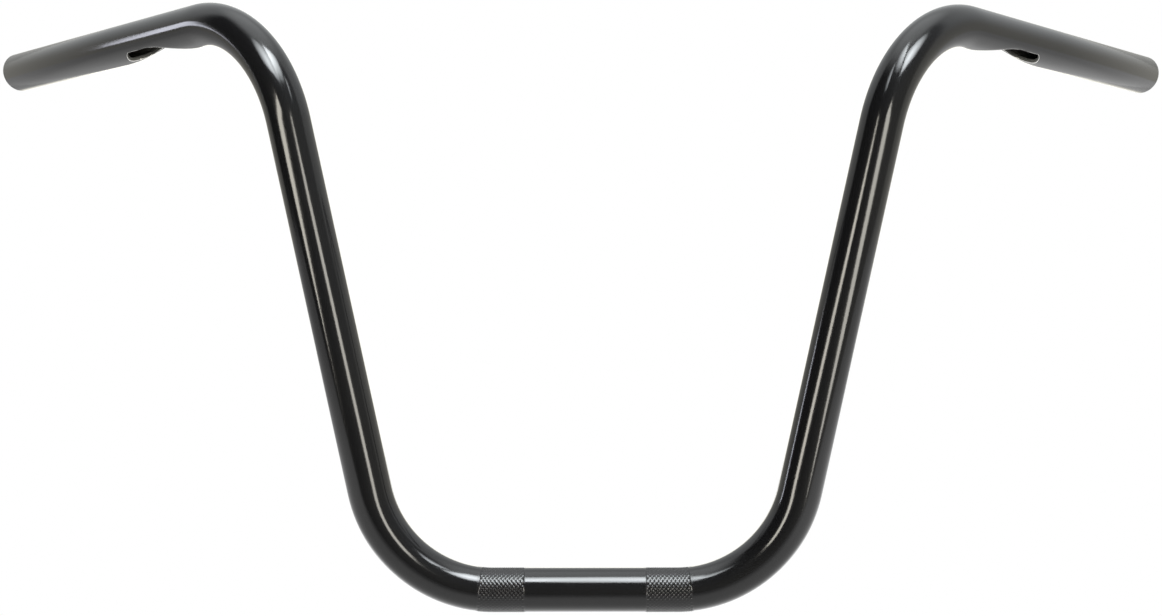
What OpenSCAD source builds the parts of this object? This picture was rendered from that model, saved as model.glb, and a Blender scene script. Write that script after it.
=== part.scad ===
// Ape hanger handlebar: one piece of bent round steel tube. A straight clamp section with two
// knurled bands turns up into two tall risers, and each riser turns outward and back into a
// straight grip with a pressed wiring dimple and slot on its underside.
// The origin is on the tube's axis in the middle of the clamp section. +X runs along the clamp
// section, +Z up beside the risers, and the grips sweep back towards +Y.

/* [Tube] */
// Outer diameter of the tube
tube_d = 25.4; // [22.2:0.1:31.8]
// Thickness of the tube's wall
wall = 2.5; // [2:0.1:3.2]
// Width of the bevel at each open end
end_bevel = 0.5; // [0.2:0.1:0.9]

/* [Bends] */
// Radius of every bend, to the tube's axis
bend_r = 72.5; // [60:0.5:100]
// Half the straight clamp section, from its middle to where the bends start
clamp_half = 52.5; // [49:0.5:80]
// Angle between the clamp section and each riser's axis
riser_angle = 77.8; // [65:0.1:88]
// Straight length of each riser
riser_len = 216; // [60:1:330]
// Sweep of each grip back from the line of the clamp section
grip_sweep = 44; // [15:1:60]
// Slope of each grip down from level
grip_drop = 2.5; // [0:0.5:15]
// Straight length of each grip, out to its open end
grip_len = 222; // [190:1:260]

/* [Knurled clamp bands] */
// Distance between the middles of the two bands
knurl_spacing = 95.4; // [88.9:0.1:98]
// Length of each band along the tube
knurl_len = 26.4; // [15:0.1:30]
// Distance between the diamonds, along the tube and around it
knurl_pitch = 2.4; // [2.2:0.1:4]
// Height of the diamonds' points above the tube's surface
knurl_rise = 0.06; // [0.02:0.01:0.08]
// Depth of the grooves between the diamonds
knurl_depth = 0.4; // [0.2:0.05:0.5]

/* [Wiring dimples] */
// Distance from the upper bend to the deepest point of the dimple
dimple_from_bend = 44; // [40:1:60]
// Depth of the dimple below the tube's surface
dimple_depth = 7; // [4:0.1:7]
// Radius of the dimple's rounded floor
dimple_floor_r = 45; // [15:1:60]
// Slope of the dimple's ramp on the side of the bend
dimple_ramp_in = 14; // [12:0.5:20]
// Slope of the dimple's ramp on the side of the open end
dimple_ramp_out = 13; // [9:0.5:20]
// Turn of the dimple away from straight down, towards the back
dimple_turn = 15; // [-20:1:20]
// Length of the wiring slot
slot_len = 35; // [25:1:50]
// Width of the wiring slot
slot_w = 18; // [12:0.5:19]
// Distance from the dimple's deepest point back to the slot's inner end
slot_back = 6; // [0:0.5:8]
// Turn of the slot away from straight down, towards the back
slot_turn = -3; // [-20:1:20]

/* [Hidden] */
$fn = 96;

tube_r = tube_d / 2;
bore_r = tube_r - wall;
margin = 1;  // how far a cutting shape runs past what it cuts
joint_lap = 2;  // how far each straight stretch runs on inside the bends beside it
lap_taper = 0.1;  // how much slimmer its end in there is
bend_relief = 0.01;  // how much less the radius is in the bends, so that the tapers dip in them
dimple_steps = 14;  // flats along the dimple's rounded floor

// The grip's direction, and the turn of the upper bend that leads from the riser to it
riser_dir = [cos(riser_angle), 0, sin(riser_angle)];
grip_dir = [cos(grip_drop) * cos(grip_sweep), cos(grip_drop) * sin(grip_sweep), -sin(grip_drop)];
upper_angle = acos(riser_dir * grip_dir);
upper_side = (grip_dir - riser_dir * cos(upper_angle)) / sin(upper_angle);

// Where each stretch of the right half's axis ends
lower_end = [clamp_half + bend_r * sin(riser_angle), 0, bend_r * (1 - cos(riser_angle))];
riser_end = lower_end + riser_len * riser_dir;
upper_end = riser_end + bend_r * (sin(upper_angle) * riser_dir + (1 - cos(upper_angle)) * upper_side);

// The knurled bands: where they lie along the axis, and how many half diamonds go along and around
knurl_start = (knurl_spacing - knurl_len) / 2;
knurl_end = knurl_start + knurl_len;
knurl_rows = 2 * round(knurl_len / knurl_pitch);
knurl_columns = 2 * round(PI * tube_d / knurl_pitch);
knurl_groove_r = tube_r - knurl_depth;
knurl_seat_r = tube_r - 2 * knurl_depth;  // the tube under the band
knurl_inner_r = tube_r - 3 * knurl_depth;  // the band's own inner wall, sunk in the tube
knurl_lap = 0.3;  // how far the band's ends are sunk in the plain tube beside it
lower_bend_end = clamp_half + bend_r * riser_angle * PI / 180;  // measured along the axis

// The direction that points up from the grip, square to it
grip_up = [sin(grip_drop) * cos(grip_sweep), sin(grip_drop) * sin(grip_sweep), cos(grip_drop)];

// Places a shape drawn along +Z so that it starts at `at` and runs along `direction`,
// with its own +X towards `side`
module along(at, direction, side) {
    across = cross(direction, side);
    multmatrix([
        [side.x, across.x, direction.x, at.x],
        [side.y, across.y, direction.y, at.y],
        [side.z, across.z, direction.z, at.z],
        [0, 0, 0, 1]
    ]) children();
}

// A bent rod. Its axis leaves the origin along +Z and turns towards +X, and the rod spans the
// turn between two angles
module bent_rod(r, angle, from = 0)
    translate([bend_r, 0, 0])
        rotate([90, 0, 0])
            rotate_extrude(angle = angle - from, start = 180 - angle)
                translate([bend_r, 0])
                    circle(r - bend_relief);

// The tapered end of a straight rod, from the origin down
module rod_end(r)
    translate([0, 0, -joint_lap])
        cylinder(r1 = r - lap_taper, r2 = r, h = joint_lap);

// The stretch of the right half's clamp section and lower bend between two distances along the axis
module lower_rod(r, from, to) {
    if (from < clamp_half)
        translate([from, 0, 0])
            rotate([0, 90, 0])
                cylinder(r = r, h = min(to, clamp_half) - from);
    if (to > clamp_half) {
        if (from < clamp_half)
            translate([clamp_half, 0, 0])
                rotate([0, -90, 0])
                    rod_end(r);
        along([clamp_half, 0, 0], [1, 0, 0], [0, 0, 1])
            bent_rod(r, bend_angle(to), bend_angle(max(from, clamp_half)));
    }
}
function bend_angle(s) = min((s - clamp_half) / bend_r * 180 / PI, riser_angle);

// The riser and the upper bend
module riser_rod(r)
    along(riser_end, riser_dir, upper_side) {
        translate([0, 0, -riser_len]) {
            rod_end(r);
            cylinder(r = r, h = riser_len);
        }
        mirror([0, 0, 1]) rod_end(r);
        bent_rod(r, upper_angle);
    }

// The outside of the grip, bevelled at its open end
module grip_rod() {
    rod_end(tube_r);
    cylinder(r = tube_r, h = grip_len - end_bevel);
    translate([0, 0, grip_len - end_bevel])
        cylinder(r1 = tube_r, r2 = tube_r - end_bevel, h = end_bevel);
}

// The shape pressed into the grip's underside, grown by `grow`: a rounded nose across the tube
// between two straight ramps. It is drawn along the grip, and its +X is up from the grip
module dimple_press(grow = 0) {
    nose_r = dimple_floor_r + grow;
    nose = [dimple_depth - tube_r - dimple_floor_r, dimple_from_bend];
    foot = -tube_r - margin;
    turn = dimple_ramp_in + dimple_ramp_out;
    floor_line = [
        for (i = [0 : dimple_steps])
            let (t = i / dimple_steps * turn - dimple_ramp_in) nose + nose_r * [cos(t), sin(t)]
    ];
    first = floor_line[0];
    last = floor_line[dimple_steps];
    width = 2 * tube_r + 2 * margin;
    translate([0, width / 2, 0])
        rotate([90, 0, 0])
            linear_extrude(width)
                polygon(concat(
                    [[foot, first.y - (first.x - foot) / tan(dimple_ramp_in)]],
                    floor_line,
                    [[foot, last.y + (last.x - foot) / tan(dimple_ramp_out)]]
                ));
}

// The wiring slot's cutter: a straight slot with round ends, from the tube's middle down
module slot_cut() {
    first = dimple_from_bend - slot_back + slot_w / 2;
    last = dimple_from_bend - slot_back + slot_len - slot_w / 2;
    reach = tube_r + margin;
    for (z = [first, last])
        translate([0, 0, z])
            rotate([0, -90, 0])
                cylinder(d = slot_w, h = reach);
    translate([-reach, -slot_w / 2, first]) cube([reach, slot_w, last - first]);
}

// One knurled band as a ring of four-sided diamonds between two sets of crossing grooves. Its
// rows of points lie along the tube's axis, round the bend too
function axis_point(s) = s <= clamp_half
    ? [s, 0, 0]
    : let (t = (s - clamp_half) / bend_r * 180 / PI)
        [clamp_half + bend_r * sin(t), 0, bend_r * (1 - cos(t))];
function axis_up(s) = s <= clamp_half
    ? [0, 0, 1]
    : let (t = (s - clamp_half) / bend_r * 180 / PI) [-sin(t), 0, cos(t)];
function knurl_row(s, even_r, odd_r) = [
    for (c = [0 : knurl_columns - 1])
        let (turn = 360 * c / knurl_columns, r = c % 2 == 0 ? even_r : odd_r)
            axis_point(s) + r * (cos(turn) * axis_up(s) + sin(turn) * [0, 1, 0])
];

module knurl_band() {
    point_r = tube_r + knurl_rise;
    step = knurl_len / knurl_rows;
    first = knurl_start - knurl_lap;
    last = knurl_end + knurl_lap;
    rows = concat(
        [knurl_row(first, knurl_inner_r, knurl_inner_r)],
        [knurl_row(first, knurl_groove_r, knurl_groove_r)],
        [for (i = [1 : knurl_rows - 1])
            let (even = i % 2 == 0)
                knurl_row(
                    knurl_start + i * step,
                    even ? point_r : knurl_groove_r,
                    even ? knurl_groove_r : point_r
                )],
        [knurl_row(last, knurl_groove_r, knurl_groove_r)],
        [knurl_row(last, knurl_inner_r, knurl_inner_r)]
    );
    count = len(rows);
    // Each square between four points is split along its groove
    polyhedron(
        points = [for (row = rows) each row],
        faces = [
            for (i = [0 : count - 1], c = [0 : knurl_columns - 1])
                let (
                    a = i * knurl_columns + c,
                    b = i * knurl_columns + (c + 1) % knurl_columns,
                    d = (i + 1) % count * knurl_columns + c,
                    e = (i + 1) % count * knurl_columns + (c + 1) % knurl_columns,
                    split = (i + c) % 2 == 1
                )
                    each split ? [[a, b, e], [a, e, d]] : [[a, b, d], [b, e, d]]
        ]
    );
}

// Everything drawn along the right grip is placed here
module at_grip() along(upper_end, grip_dir, grip_up) children();

module half_outside() {
    lower_rod(tube_r, 0, knurl_start);
    lower_rod(knurl_seat_r, knurl_start - margin, knurl_end + margin);
    knurl_band();
    lower_rod(tube_r, knurl_end, lower_bend_end);
    riser_rod(tube_r);
    at_grip() grip_rod();
}

module half_inside() {
    lower_rod(bore_r, 0, lower_bend_end);
    riser_rod(bore_r);
    at_grip() {
        difference() {
            union() {
                rod_end(bore_r);
                cylinder(r = bore_r, h = grip_len + margin);
            }
            rotate([0, 0, dimple_turn]) dimple_press(wall);
        }
        rotate([0, 0, dimple_turn]) dimple_press();
        rotate([0, 0, slot_turn]) slot_cut();
    }
}

module handlebar()
    color("#1b1c1f")
        difference() {
            union() {
                half_outside();
                mirror([1, 0, 0]) half_outside();
            }
            half_inside();
            mirror([1, 0, 0]) half_inside();
        }

handlebar();
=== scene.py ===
"""The looks of an ape hanger handlebar: one bent tube in gloss black, over a pale floor."""

import math

import bmesh
import bpy
from mathutils import Matrix, Vector


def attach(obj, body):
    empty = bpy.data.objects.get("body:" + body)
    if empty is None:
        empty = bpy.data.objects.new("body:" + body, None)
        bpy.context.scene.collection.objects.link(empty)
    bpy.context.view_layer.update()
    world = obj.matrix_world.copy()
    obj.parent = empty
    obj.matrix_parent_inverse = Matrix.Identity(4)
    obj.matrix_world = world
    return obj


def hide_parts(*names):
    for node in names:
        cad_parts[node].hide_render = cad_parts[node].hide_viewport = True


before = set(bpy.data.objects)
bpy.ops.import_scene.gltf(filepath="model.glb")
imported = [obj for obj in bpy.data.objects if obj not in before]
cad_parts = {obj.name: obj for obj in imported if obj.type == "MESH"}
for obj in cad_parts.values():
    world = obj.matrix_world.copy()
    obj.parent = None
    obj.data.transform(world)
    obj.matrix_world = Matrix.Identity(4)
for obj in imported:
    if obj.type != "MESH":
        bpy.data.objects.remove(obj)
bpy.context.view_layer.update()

# The tube's sizes, in metres, and its angles
TUBE_R = 0.0127
WALL = 0.0025
BEND_R = 0.0725
CLAMP_HALF = 0.0525
RISER_ANGLE = math.radians(77.8)
RISER_LENGTH = 0.216
GRIP_SWEEP = math.radians(44)
GRIP_DROP = math.radians(2.5)
GRIP_LENGTH = 0.222
END_ROUND = 0.0005

# The knurled bands of the clamp section, and the diamonds' size in rows and columns of faces
KNURL_START = 0.0345
KNURL_LENGTH = 0.0264
KNURL_END = KNURL_START + KNURL_LENGTH
KNURL_RISE = 0.00005
KNURL_DEPTH = 0.0004
KNURL_ROWS = 44
DIAMOND = 4

# The pressed dimple under each grip, and the wiring slot cut through it
DIMPLE_MIDDLE = 0.044
DIMPLE_DEPTH = 0.007
DIMPLE_NOSE = 0.045
DIMPLE_RAMP_IN = math.radians(14)
DIMPLE_RAMP_OUT = math.radians(13)
DIMPLE_TURN = math.radians(15)
DIMPLE_SHOULDER = 0.0016
DIMPLE_START = 0.004
DIMPLE_END = 0.088
SLOT_START = 0.038
SLOT_LENGTH = 0.035
SLOT_END = SLOT_START + SLOT_LENGTH
SLOT_WIDTH = 0.018
SLOT_TURN = math.radians(-3)
SLOT_ROUND = 0.0004

# The skins' faces: columns round the tube, and rows along each bend and the dimple
OUTER_COLUMNS = 132
OUTER_ROWS = {"lower bend": 28, "upper bend": 36, "dimple": 70}
BORE_COLUMNS = 66
BORE_ROWS = {"lower bend": 24, "upper bend": 24, "dimple": 60}

# Finding and treating edges: stretches of the grip, angles and merging distances
SLACK = 0.0001
SLOT_SPAN = (SLOT_START - 0.005, SLOT_END + 0.005)
END_SPAN = (GRIP_LENGTH - 0.001, GRIP_LENGTH + 0.001)
SHARP = math.radians(42)
SMOOTH = math.radians(34)
BEVEL_ROWS = 2
MERGE = 0.000002
MIRROR_MERGE = 0.00001
SLIDE_STEP = 0.00002
SLIDE_ROUNDS = 6

# The tube's materials, by their places in its list, after the paint
BARE = 1
# LIP: the slot's rounded lip, in bright steel as a painted highlight
LIP = 2

# Colours, as linear red, green and blue
WHITE = (1, 1, 1, 1)
DEEP_BLACK = (0.0042, 0.0042, 0.0048, 1)
PALE_BLACK = (0.0062, 0.0061, 0.0063, 1)
DARK_STEEL = (0.11, 0.11, 0.10, 1)
PALE_STEEL = (0.17, 0.17, 0.16, 1)
# Bright steel for the slot's lip, a painted highlight
LIP_HIGHLIGHT_STEEL = (0.55, 0.54, 0.52, 1)
FLOOR_GREY = (0.8, 0.8, 0.8, 1)
LOW_LIGHT = (1, 0.98, 0.90, 1)
HIGH_LIGHT = (0.96, 0.99, 1, 1)
COOL_LAMP = (0.92, 0.97, 1.0)

# The floor, well below the bar, with a painted shadow under the camera and a painted pool of light behind
# the bar, as it shows in gloss
FLOOR_Z = -0.25
FLOOR_FRONT = -0.95
FLOOR_BACK = 4.0
FLOOR_SIDE = 3.0
CAMERA_SHADOW_SPOT = (0, -1.4, FLOOR_Z)
LIGHT_POOL_BEHIND_BAR = (0, 0.5, FLOOR_Z)

# The camera: its focal length in pixels of the photograph, its turns and its place before them
PHOTO_WIDTH = 1162
FOCAL_LENGTH = 1600
SENSOR_WIDTH = 36.0
CAMERA_TILT = math.radians(1.505)
CAMERA_ROLL = math.radians(0.06)
CAMERA_YAW = math.radians(0.469)
CAMERA_PLACE = Vector((-0.00234, -0.91935, 0.16186))

# The right half's path: where each stretch ends and which way it runs
X, Y, Z = Vector((1, 0, 0)), Vector((0, 1, 0)), Vector((0, 0, 1))
RISER_DIR = Vector((math.cos(RISER_ANGLE), 0, math.sin(RISER_ANGLE)))
GRIP_DIR = Vector((math.cos(GRIP_DROP) * math.cos(GRIP_SWEEP),
                   math.cos(GRIP_DROP) * math.sin(GRIP_SWEEP),
                   -math.sin(GRIP_DROP)))
UPPER_ANGLE = RISER_DIR.angle(GRIP_DIR)
UPPER_AXIS = RISER_DIR.cross(GRIP_DIR).normalized()
UPPER_SIDE = UPPER_AXIS.cross(RISER_DIR)
LOWER_CENTRE = Vector((CLAMP_HALF, 0, BEND_R))
RISER_START = LOWER_CENTRE + Matrix.Rotation(RISER_ANGLE, 3, -Y) @ Vector((0, 0, -BEND_R))
RISER_END = RISER_START + RISER_LENGTH * RISER_DIR
UPPER_CENTRE = RISER_END + BEND_R * UPPER_SIDE
GRIP_START = UPPER_CENTRE + Matrix.Rotation(UPPER_ANGLE, 3, UPPER_AXIS) @ (RISER_END - UPPER_CENTRE)
GRIP_UP = (Z - Z.dot(GRIP_DIR) * GRIP_DIR).normalized()
GRIP_FRONT = GRIP_DIR.cross(GRIP_UP)
DIMPLE_UP = math.cos(DIMPLE_TURN) * GRIP_UP + math.sin(DIMPLE_TURN) * GRIP_FRONT
SLOT_UP = math.cos(SLOT_TURN) * GRIP_UP + math.sin(SLOT_TURN) * GRIP_FRONT
SLOT_SIDE = GRIP_DIR.cross(SLOT_UP)


# The camera

def make_camera():
    """The photograph's view: in front of the bar, a little left of its middle, tipped down."""
    tilt = Matrix.Rotation(CAMERA_TILT, 3, "X")
    roll = Matrix.Rotation(CAMERA_ROLL, 3, "Y")
    yaw = Matrix.Rotation(CAMERA_YAW, 3, "Z")
    turned = (tilt @ roll @ yaw).transposed()
    data = bpy.data.cameras.new("camera")
    data.sensor_width = SENSOR_WIDTH
    data.lens = FOCAL_LENGTH / PHOTO_WIDTH * SENSOR_WIDTH
    camera = bpy.data.objects.new("camera", data)
    bpy.context.scene.collection.objects.link(camera)
    looking = turned @ Matrix.Rotation(math.radians(90), 3, "X")
    camera.matrix_world = Matrix.Translation(turned @ CAMERA_PLACE) @ looking.to_4x4()
    bpy.context.scene.camera = camera


# The tube's mesh

def start_editing(piece, what="DESELECT"):
    """Opens one piece in edit mode, with all of it selected or none."""
    bpy.ops.object.select_all(action="DESELECT")
    piece.select_set(True)
    bpy.context.view_layer.objects.active = piece
    bpy.ops.object.mode_set(mode="EDIT")
    bpy.ops.mesh.select_mode(type="VERT")
    bpy.ops.mesh.select_all(action=what)


def stop_editing():
    bpy.ops.object.mode_set(mode="OBJECT")


def point_faces(piece, inward=False):
    """Merges doubles and turns every face outwards, or towards the tube's axis on the bore."""
    start_editing(piece, "SELECT")
    bpy.ops.mesh.remove_doubles(threshold=MERGE)
    bpy.ops.mesh.normals_make_consistent(inside=inward)
    stop_editing()


def draw_out(direction, length, steps=1):
    """Extrudes the selected ring straight on."""
    for _ in range(steps):
        step = direction * (length / steps)
        bpy.ops.mesh.extrude_region_move(TRANSFORM_OT_translate={"value": step})


def spin_on(angle, centre, axis, steps):
    """Spins the selected ring round a bend."""
    bpy.ops.mesh.spin(steps=steps, angle=angle, center=centre, axis=axis)


def draw_knurled_clamp(rows):
    """The clamp section and the lower bend. The knurled band runs into the bend, in even rows."""
    row = KNURL_LENGTH / KNURL_ROWS
    straight_rows = round((CLAMP_HALF - KNURL_START) / row)
    bent_rows = KNURL_ROWS - straight_rows
    knurled_turn = bent_rows * row / BEND_R
    draw_out(X, KNURL_START)
    draw_out(X, CLAMP_HALF - KNURL_START, straight_rows)
    spin_on(knurled_turn, LOWER_CENTRE, Y, bent_rows)
    spin_on(RISER_ANGLE - knurled_turn, LOWER_CENTRE, Y, rows)


def half_tube(name, radius, columns, rows, knurled):
    """The right half of a tube's skin, drawn from the middle of the clamp section to the open end."""
    bpy.ops.object.select_all(action="DESELECT")
    bpy.ops.mesh.primitive_circle_add(vertices=columns, radius=radius, fill_type="NOTHING",
                                      location=(0, 0, 0), rotation=(0, math.pi / 2, 0))
    skin = bpy.context.object
    skin.name = name
    bpy.ops.object.transform_apply(location=True, rotation=True, scale=True)
    start_editing(skin, "SELECT")
    if knurled:
        draw_knurled_clamp(rows["lower bend"])
    else:
        draw_out(X, CLAMP_HALF)
        spin_on(RISER_ANGLE, LOWER_CENTRE, Y, rows["lower bend"])
    draw_out(RISER_DIR, RISER_LENGTH)
    spin_on(UPPER_ANGLE, UPPER_CENTRE, -UPPER_AXIS, rows["upper bend"])
    draw_out(GRIP_DIR, DIMPLE_START)
    draw_out(GRIP_DIR, DIMPLE_END - DIMPLE_START, rows["dimple"])
    draw_out(GRIP_DIR, GRIP_LENGTH - DIMPLE_END)
    stop_editing()
    return skin


def along_clamp(point):
    """How far a point lies along the clamp section and lower bend, and the axis and its upside there."""
    if point.x <= CLAMP_HALF:
        return point.x, Vector((point.x, 0, 0)), Z
    turn = math.atan2(point.x - CLAMP_HALF, BEND_R - point.z)
    up = Vector((-math.sin(turn), 0, math.cos(turn)))
    return CLAMP_HALF + turn * BEND_R, LOWER_CENTRE - BEND_R * up, up


def cut_knurl(skin):
    """Two crossing sets of grooves, which leave pointed diamonds."""
    row_length = KNURL_LENGTH / KNURL_ROWS
    for vertex in skin.data.vertices:
        if vertex.co.z > 2 * TUBE_R:
            continue
        distance, axis_point, up = along_clamp(vertex.co)
        row = round((distance - KNURL_START) / row_length)
        if not 0 < row < KNURL_ROWS:
            continue
        out = (vertex.co - axis_point).normalized()
        column = round(math.atan2(out.dot(Y), out.dot(up)) / math.tau * OUTER_COLUMNS)
        across = min((row - column) % DIAMOND, (column - row) % DIAMOND)
        along = min((row + column) % DIAMOND, -(row + column) % DIAMOND)
        fall = (KNURL_RISE + KNURL_DEPTH) * max(across, along) / (DIAMOND / 2)
        vertex.co = axis_point + out * (TUBE_R + KNURL_RISE - fall)


def crisp_knurl_ends(tube):
    """Marks the ring at each end of a knurled band as sharp, so that the plain tube mirrors cleanly."""
    for edge in tube.data.edges:
        places = [tube.data.vertices[index].co for index in edge.vertices]
        if max(place.z for place in places) > 2 * TUBE_R:
            continue
        distances = [along_clamp(Vector((abs(place.x), place.y, place.z)))[0] for place in places]
        for end in (KNURL_START, KNURL_END):
            if max(abs(distance - end) for distance in distances) < KNURL_DEPTH / 10:
                edge.use_edge_sharp = True


def dimple_floor(distance, wall):
    """Height of the pressed floor above the grip's axis: a rounded nose between two straight ramps."""
    nose = DIMPLE_NOSE + wall
    centre = DIMPLE_DEPTH - TUBE_R - DIMPLE_NOSE
    past = distance - DIMPLE_MIDDLE
    ramp = DIMPLE_RAMP_IN if past < 0 else DIMPLE_RAMP_OUT
    past = abs(past)
    if past < nose * math.sin(ramp):
        return centre + math.sqrt(nose ** 2 - past ** 2)
    return centre + nose * math.cos(ramp) - (past - nose * math.sin(ramp)) * math.tan(ramp)


def smooth_max(a, b, width):
    """The larger of two heights, blended where they lie within `width` of each other."""
    near = max(width - abs(a - b), 0) / width
    return max(a, b) + near * near * width / 4


def grip_point(turn, distance, radius, wall):
    """A point of the grip's skin, `turn` round from the bottom of the slot, pressed in by the dimple."""
    out = -math.cos(turn) * SLOT_UP + math.sin(turn) * SLOT_SIDE
    height = radius * out.dot(DIMPLE_UP)
    pressed = smooth_max(height, dimple_floor(distance, wall), DIMPLE_SHOULDER)
    return GRIP_START + distance * GRIP_DIR + radius * out + (pressed - height) * DIMPLE_UP


def beyond_slot(point):
    """How far a point of the grip's underside lies outside the slot's outline."""
    offset = point - GRIP_START
    if offset.dot(SLOT_UP) > 0:
        return TUBE_R
    half = SLOT_WIDTH / 2
    distance = offset.dot(GRIP_DIR)
    past = max(SLOT_START + half - distance, 0, distance - SLOT_END + half)
    return math.hypot(offset.dot(SLOT_SIDE), past) - half


def slide_to_slot(turn, distance, radius, wall):
    """Moves a point along the skin, by the slope of its distance from the slot, onto the outline."""
    for _ in range(SLIDE_ROUNDS):
        here = beyond_slot(grip_point(turn, distance, radius, wall))
        turned = beyond_slot(grip_point(turn + SLIDE_STEP / radius, distance, radius, wall))
        moved = beyond_slot(grip_point(turn, distance + SLIDE_STEP, radius, wall))
        by_turn = (turned - here) / SLIDE_STEP
        by_length = (moved - here) / SLIDE_STEP
        slope = by_turn ** 2 + by_length ** 2
        turn -= here * by_turn / slope / radius
        distance -= here * by_length / slope
    return grip_point(turn, distance, radius, wall)


def within(span, distance):
    return span[0] < distance < span[1]


def edge_distance(edge):
    """How far the middle of an edge lies along the grip."""
    return ((edge.verts[0].co + edge.verts[1].co) / 2 - GRIP_START).dot(GRIP_DIR)


def press_grip(skin, radius, wall):
    """Presses the dimple into the grip's underside and opens the slot in it."""
    start_editing(skin)
    mesh = bmesh.from_edit_mesh(skin.data)
    places = {}
    for vertex in mesh.verts:
        offset = vertex.co - GRIP_START
        distance = offset.dot(GRIP_DIR)
        out = offset - distance * GRIP_DIR
        if distance > DIMPLE_START - SLACK and out.length < 2 * TUBE_R:
            turn = math.atan2(out.dot(SLOT_SIDE), -out.dot(SLOT_UP))
            places[vertex] = (turn, distance)
            vertex.co = grip_point(turn, distance, radius, wall)
    for face in mesh.faces:
        centre = face.calc_center_median()
        if all(vertex in places for vertex in face.verts) and beyond_slot(centre) < 0:
            face.select_set(True)
    bpy.ops.mesh.delete(type="FACE")
    mesh = bmesh.from_edit_mesh(skin.data)
    for vertex in mesh.verts:
        distance = (vertex.co - GRIP_START).dot(GRIP_DIR)
        if vertex.is_boundary and vertex in places and not within(END_SPAN, distance):
            vertex.co = slide_to_slot(*places[vertex], radius, wall)
    bmesh.update_edit_mesh(skin.data)
    stop_editing()


def bridge_open_edges(tube, span):
    """Joins the outer and the inner skin along their open edges in a stretch of the grip."""
    start_editing(tube)
    for edge in bmesh.from_edit_mesh(tube.data).edges:
        if edge.is_boundary and within(span, edge_distance(edge)):
            edge.select_set(True)
    bpy.ops.mesh.bridge_edge_loops()
    for face in bmesh.from_edit_mesh(tube.data).faces:
        if face.select:
            face.material_index = BARE
    stop_editing()


def round_edges(tube, span, width, finish):
    """Bevels the sharp edges in a stretch of the grip."""
    start_editing(tube)
    bpy.ops.mesh.select_mode(type="EDGE")
    for edge in bmesh.from_edit_mesh(tube.data).edges:
        if within(span, edge_distance(edge)) and edge.calc_face_angle(0) > SHARP:
            edge.select_set(True)
    bpy.ops.mesh.bevel(offset=width, segments=BEVEL_ROWS, affect="EDGES",
                       clamp_overlap=False, material=finish)
    stop_editing()


def make_tube():
    """The whole bent tube: outer skin and bore, joined at the slot and the open end, then mirrored."""
    outer = half_tube("bent_tube", TUBE_R, OUTER_COLUMNS, OUTER_ROWS, knurled=True)
    cut_knurl(outer)
    press_grip(outer, TUBE_R, 0)
    bore = half_tube("bore", TUBE_R - WALL, BORE_COLUMNS, BORE_ROWS, knurled=False)
    press_grip(bore, TUBE_R - WALL, WALL)
    for skin, finish in ((outer, gloss_black()), (bore, bare_steel())):
        point_faces(skin, inward=skin == bore)
        skin.data.materials.clear()
        skin.data.materials.append(finish)
    bpy.ops.object.select_all(action="DESELECT")
    bore.select_set(True)
    outer.select_set(True)
    bpy.context.view_layer.objects.active = outer
    bpy.ops.object.join()
    bridge_open_edges(outer, SLOT_SPAN)
    bridge_open_edges(outer, END_SPAN)
    # The slot's lip gets bright steel, a painted highlight
    outer.data.materials.append(lip_highlight_steel())
    round_edges(outer, SLOT_SPAN, SLOT_ROUND, LIP)
    round_edges(outer, END_SPAN, END_ROUND, BARE)
    mirror = outer.modifiers.new("mirror", "MIRROR")
    mirror.merge_threshold = MIRROR_MERGE
    bpy.ops.object.modifier_apply(modifier=mirror.name)
    point_faces(outer)
    bpy.ops.object.shade_smooth_by_angle(angle=SMOOTH)
    crisp_knurl_ends(outer)
    return outer


# Materials

class Value:
    """A socket that carries a number through a material, with Python's own signs for its maths."""

    def __init__(self, finish, socket):
        self.finish = finish
        self.socket = socket

    def _with(self, operation, first, second):
        return self.finish.node("Math", {"operation": operation}, {0: first, 1: second})

    def __add__(self, other):
        return self._with("ADD", self, other)

    __radd__ = __add__

    def __sub__(self, other):
        return self._with("SUBTRACT", self, other)

    def __rsub__(self, other):
        return self._with("SUBTRACT", other, self)

    def __mul__(self, other):
        return self._with("MULTIPLY", self, other)

    __rmul__ = __mul__


class Finish:
    """A material or world under construction. Its one method adds any node."""

    def __init__(self, owner):
        owner.use_nodes = True
        self.tree = owner.node_tree
        self.tree.nodes.clear()

    def node(self, kind, settings=None, sockets=None, out=0):
        made = self.tree.nodes.new("ShaderNode" + kind)
        for name, setting in (settings or {}).items():
            setattr(made, name, setting)
        for key, value in (sockets or {}).items():
            if isinstance(value, Value):
                self.tree.links.new(value.socket, made.inputs[key])
            else:
                made.inputs[key].default_value = value
        if not made.outputs:
            return made
        return Value(self, made.outputs[out])


def on_object(finish):
    """A point's place in metres. The piece is at the origin, so this is its place in the frame too."""
    return finish.node("TexCoord", out="Object")


def noise(finish, place, scale, detail):
    return finish.node("TexNoise", None, {"Vector": place, "Scale": scale, "Detail": detail}, "Fac")


def blend(finish, factor, first, second):
    """A colour from `first` at factor 0 to `second` at factor 1."""
    return finish.node("Mix", {"data_type": "RGBA"}, {"Factor": factor, 6: first, 7: second}, 2)


def rise(finish, value, low, high):
    """0 up to `low`, 1 from `high`, and a smooth rise between."""
    return finish.node("MapRange", {"interpolation_type": "SMOOTHSTEP"}, {"Value": value, 1: low, 2: high})


def axes(finish, vector):
    """The three numbers of a vector."""
    parts = finish.node("SeparateXYZ", None, {0: vector})
    return [Value(finish, parts.socket.node.outputs[name]) for name in "XYZ"]


def on_knurl(finish, place):
    """1 on the knurled bands and 0 elsewhere, with a millimetre between."""
    x, _, z = axes(finish, place)
    beside = finish.node("Math", {"operation": "ABSOLUTE"}, {0: x})
    return (rise(finish, beside, KNURL_START - 0.001, KNURL_START)
            * (1 - rise(finish, beside, KNURL_END, KNURL_END + 0.001))
            * (1 - rise(finish, z, 0.03, 0.04)))


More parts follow.
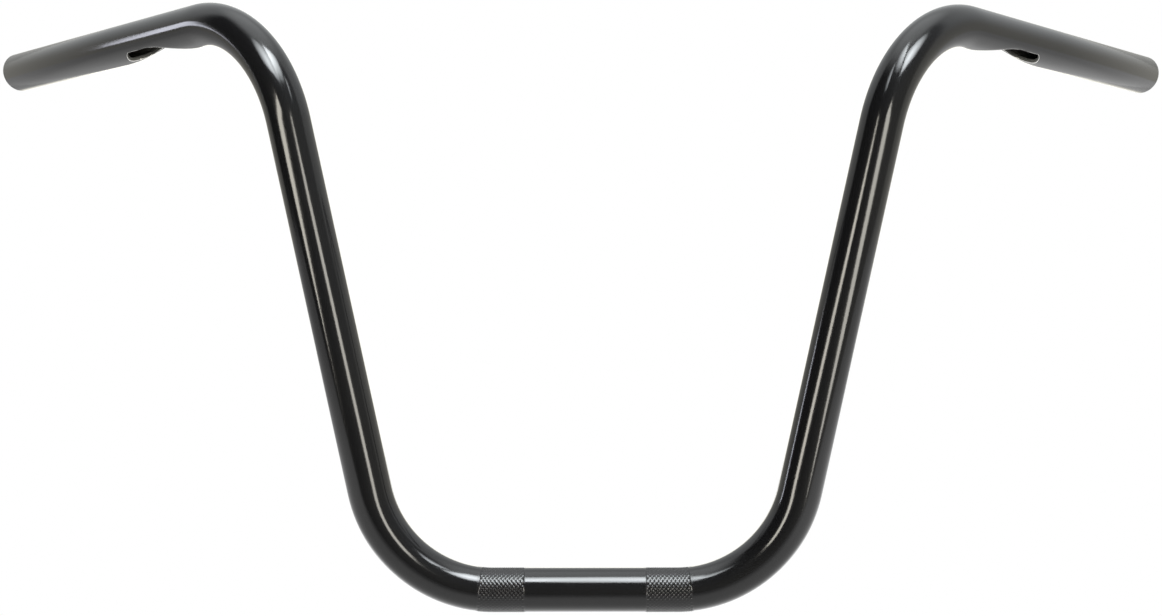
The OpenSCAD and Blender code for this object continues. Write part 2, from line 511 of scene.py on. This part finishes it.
def gloss_black():
    """Sprayed and baked black: a hard gloss with a faint orange peel, duller on the knurl."""
    material = bpy.data.materials.new("gloss_black")
    finish = Finish(material)
    place = on_object(finish)
    peel = noise(finish, place, 420.0, 2.0)
    grain = noise(finish, place, 1500.0, 1.0)
    cloud = noise(finish, place, 34.0, 3.0)
    roughness = 0.09 + cloud * 0.04 + grain * 0.03 + on_knurl(finish, place) * 0.1
    colour = blend(finish, cloud, DEEP_BLACK, PALE_BLACK)
    bump = finish.node("Bump", None, {"Strength": 0.10, "Distance": 0.0001, "Height": peel + grain * 0.4})
    paint = finish.node("BsdfPrincipled", None, {
        "Base Color": colour, "Roughness": roughness, "IOR": 1.5, "Normal": bump})
    finish.node("OutputMaterial", None, {"Surface": paint})
    return material


def bare_steel():
    """The inside of the tube, which isn't sprayed: dull grey steel, a little stained."""
    material = bpy.data.materials.new("bare_steel")
    finish = Finish(material)
    stain = noise(finish, on_object(finish), 160.0, 3.0)
    steel = finish.node("BsdfPrincipled", None, {
        "Base Color": blend(finish, stain, DARK_STEEL, PALE_STEEL), "Roughness": 0.5 + stain * 0.2})
    finish.node("OutputMaterial", None, {"Surface": steel})
    return material


def lip_highlight_steel():
    """The rounded lip of a slot, in bright polished steel: a painted highlight, standing for the light
    caught by the glossy paint's rounded lip.
    """
    material = bpy.data.materials.new("lip_highlight_steel")
    finish = Finish(material)
    # Bright steel on the lip is a painted highlight; its roughness varies at random
    lip_roughness_noise = noise(finish, on_object(finish), 900.0, 2.0)
    lip = finish.node("BsdfPrincipled", None, {
        "Base Color": LIP_HIGHLIGHT_STEEL, "Metallic": 1.0, "Roughness": 0.2 + lip_roughness_noise * 0.2})
    finish.node("OutputMaterial", None, {"Surface": lip})
    return material


# The studio

def rays(finish):
    """Whether a ray comes from the camera, and whether it is mirrored or seen through something."""
    camera = finish.node("LightPath", out="Is Camera Ray")
    through = finish.node("LightPath", out="Is Transmission Ray")
    return camera, finish.node("LightPath", out="Is Glossy Ray") + through


def distance_to(finish, place, spot):
    return finish.node("VectorMath", {"operation": "DISTANCE"}, {0: place, 1: spot}, "Value")


def floor_gloss_painted_light(finish, place, away):
    """How bright the floor glows in gloss, with painted light and shade: a painted shadow under the
    camera, darker far off, a painted pool of light behind the bar, and brighter to the right.
    """
    x = axes(finish, place)[0]
    # Painted shadow around the spot under the camera, painted light around the spot behind the bar
    outside_camera_shadow = rise(finish, distance_to(finish, place, CAMERA_SHADOW_SPOT), 0.7, 1.15) * 0.75
    behind = (1 - rise(finish, distance_to(finish, place, LIGHT_POOL_BEHIND_BAR), 0.25, 0.6)) * 1.3
    far = rise(finish, away, 1.0, 2.0) * 0.42
    right = rise(finish, x, 0.0, 0.6) * 0.25
    return outside_camera_shadow + behind - far + right + 0.33


def make_floor():
    """A white floor below the bar: partly matt near the bar, to take its shadow, and all glow beyond."""
    bpy.ops.object.select_all(action="DESELECT")
    bpy.ops.mesh.primitive_plane_add(size=1, location=(0, 0, 0))
    floor = bpy.context.object
    floor.name = "floor"
    for vertex in floor.data.vertices:
        side = math.copysign(FLOOR_SIDE, vertex.co.x)
        vertex.co = (side, FLOOR_BACK if vertex.co.y > 0 else FLOOR_FRONT, FLOOR_Z)
    material = bpy.data.materials.new("pale_floor")
    finish = Finish(material)
    camera, mirrored = rays(finish)
    place = on_object(finish)
    away = finish.node("VectorMath", {"operation": "LENGTH"}, {0: place}, "Value")
    matt = finish.node("BsdfDiffuse", None, {"Color": FLOOR_GREY})
    strength = camera + mirrored * floor_gloss_painted_light(finish, place, away)
    glow = finish.node("Emission", None, {"Color": WHITE, "Strength": strength})
    share = (camera + mirrored) * (rise(finish, away, 0.4, 0.9) * 0.15 + 0.85)
    both = finish.node("MixShader", None, {"Fac": share, 1: matt, 2: glow})
    finish.node("OutputMaterial", None, {"Surface": both})
    floor.data.materials.append(material)


def make_world():
    """A white backdrop all round. In gloss the studio ahead of the bar is dark, more so on the left."""
    world = bpy.data.worlds.new("studio")
    bpy.context.scene.world = world
    finish = Finish(world)
    camera, mirrored = rays(finish)
    x, y, z = axes(finish, finish.node("TexCoord", out="Generated"))
    towards_camera = 0.0 - y - x * 0.14
    ahead = rise(finish, towards_camera, -0.08, 0.12) * (1 - rise(finish, z, 0.74, 0.96))
    dark = rise(finish, x, -0.8, 0.9) * 0.34
    behind = rise(finish, y, 0.9, 0.98) * (1 - rise(finish, z, 0.2, 0.45)) * 1.8
    upper = rise(finish, z, 0.1, 0.7) * 0.4
    overhead = rise(finish, z, 0.8, 1.0) * 1.1
    right = rise(finish, x, 0.3, 0.9) * 0.12
    white = upper + overhead + behind + 0.66 + right
    in_gloss = white + ahead * (dark - white)
    strength = camera + (1 - camera) * (mirrored * in_gloss + (1 - mirrored) * 0.35)
    shade = blend(finish, rise(finish, z, 0.05, 0.5), LOW_LIGHT, HIGH_LIGHT)
    colour = blend(finish, camera, shade, WHITE)
    light = finish.node("Background", None, {"Color": colour, "Strength": strength})
    finish.node("OutputWorld", None, {"Surface": light})


def softbox(name, place, azimuth, elevation, width, height, luminance, roll=0, grid=90, colour=WHITE[:3]):
    """A lamp panel that faces the bar from a direction. A grid ends its beam at an angle off its axis."""
    data = bpy.data.lights.new(name, "AREA")
    data.shape = "RECTANGLE"
    data.size, data.size_y = width, height
    data.color = colour
    beam = 1.0
    if grid < 90:
        reach = math.radians(grid)
        data.spread = 2 * reach
        beam = math.tan(reach) / (math.tan(reach) - reach)
    data.energy = luminance * math.pi * width * height / beam
    lamp = bpy.data.objects.new(name, data)
    lamp.visible_camera = False
    bpy.context.scene.collection.objects.link(lamp)
    turn = (Matrix.Rotation(math.radians(azimuth), 4, "Z")
            @ Matrix.Rotation(math.radians(90 - elevation), 4, "X")
            @ Matrix.Rotation(math.radians(roll), 4, "Z"))
    lamp.matrix_world = Matrix.Translation(place) @ turn


def make_lamps():
    """Gridded softboxes overhead for the clamp section and bends, and strips for the risers."""
    softbox("left_softbox", (-0.27, -0.37, 0.78), azimuth=-8, elevation=48, width=0.50, height=0.31,
            luminance=21, grid=22, colour=COOL_LAMP)
    softbox("right_softbox", (0.465, -0.34, 0.75), azimuth=30, elevation=44, width=0.36, height=0.30,
            luminance=25, grid=22, colour=COOL_LAMP)
    softbox("middle_softbox", (0.07, -0.44, 0.90), azimuth=20, elevation=62, width=0.34, height=0.54,
            luminance=26, grid=23, colour=COOL_LAMP)
    softbox("left_strip", (-1.73, -2.4, 0.39), azimuth=-35.2, elevation=3.7, width=0.52, height=1.72,
            luminance=12.5, roll=-50, colour=(1, 0.96, 0.85))
    softbox("right_strip", (1.31, -2.65, 0.24), azimuth=26, elevation=0.7, width=0.64, height=1.65,
            luminance=10, roll=38, colour=(1, 0.97, 0.88))
    softbox("side_strip", (-2.71, 0.50, 0.50), azimuth=-100, elevation=3.9, width=0.24, height=0.54,
            luminance=9, colour=(0.86, 0.88, 1.0))


make_camera()
tube = make_tube()
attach(tube, "root")
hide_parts("handlebar")
make_floor()
make_world()
make_lamps()

bpy.context.scene.view_settings.view_transform = "Standard"
